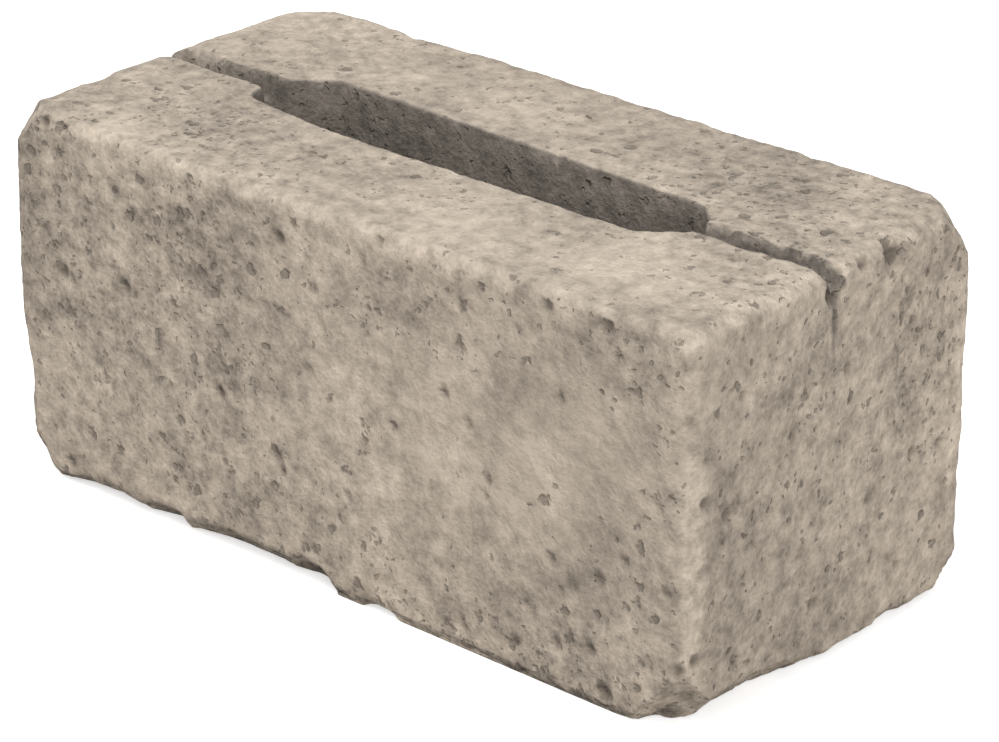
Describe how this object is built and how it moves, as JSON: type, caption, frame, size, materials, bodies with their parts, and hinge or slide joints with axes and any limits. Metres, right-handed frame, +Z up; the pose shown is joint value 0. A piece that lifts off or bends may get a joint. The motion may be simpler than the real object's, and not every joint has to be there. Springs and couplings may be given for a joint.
{
  "type": "concrete wall block",
  "caption": "Tumbled concrete wall block with rounded, chipped arrises, a long tapered core slot through its middle and a bar groove from the slot to each end of the top bed.",
  "frame": {"origin": "middle of the underside, on the level that the block stands on", "axes": "+X along the length, +Y from the front to the back, +Z up out of the top bed"},
  "size_m": [0.3, 0.147, 0.137],
  "materials": {
    "concrete": "matte, open-pored dry-cast concrete"
  },
  "bodies": {
    "root": {"block": "concrete"}
  },
  "joints": []
}
